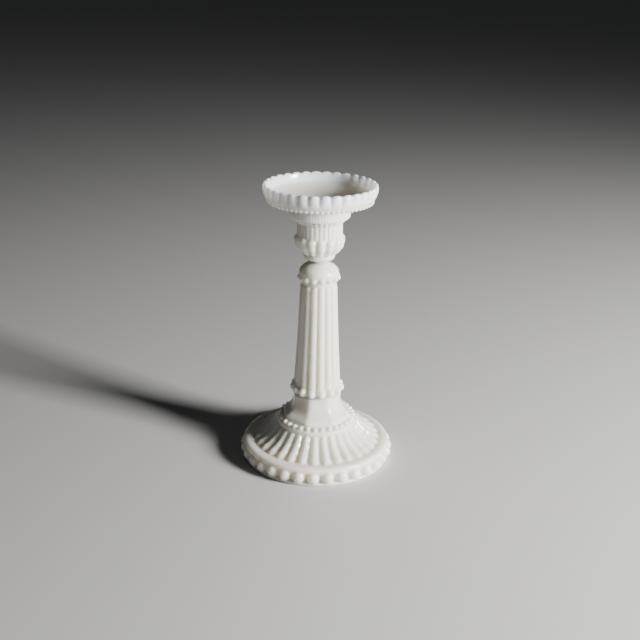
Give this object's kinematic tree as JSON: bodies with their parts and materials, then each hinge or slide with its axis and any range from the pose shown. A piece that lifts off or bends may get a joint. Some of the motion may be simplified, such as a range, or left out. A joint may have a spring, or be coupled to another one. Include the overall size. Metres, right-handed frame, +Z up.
{
  "type": "glass candlestick",
  "caption": "Opaque white pressed-glass candlestick: reeded column on a beaded and ribbed round foot, urn-shaped candle socket, loose scalloped drip pan.",
  "frame": {"origin": "centre of the foot, on the surface that the candlestick stands on", "axes": "+Z up along the candle's axis; -Y is the front, and +X is to the right seen from the front"},
  "size_m": [0.1104, 0.1104, 0.2],
  "materials": {
    "opal_glass": "gloss",
    "opal_glass_wafer": "gloss",
    "opal_glass_pan": "gloss"
  },
  "bodies": {
    "candlestick": {"foot": "opal_glass", "lower_wafer": "opal_glass_wafer", "column": "opal_glass", "neck_wafer": "opal_glass_wafer", "candle_socket": "opal_glass"},
    "drip_pan": {"drip_pan": "opal_glass_pan"}
  },
  "joints": [
    {"name": "drip_pan_lift", "type": "slide", "parent": "candlestick", "child": "drip_pan", "axis": [0, 0, 1], "range_m": [0, 0.03]}
  ]
}
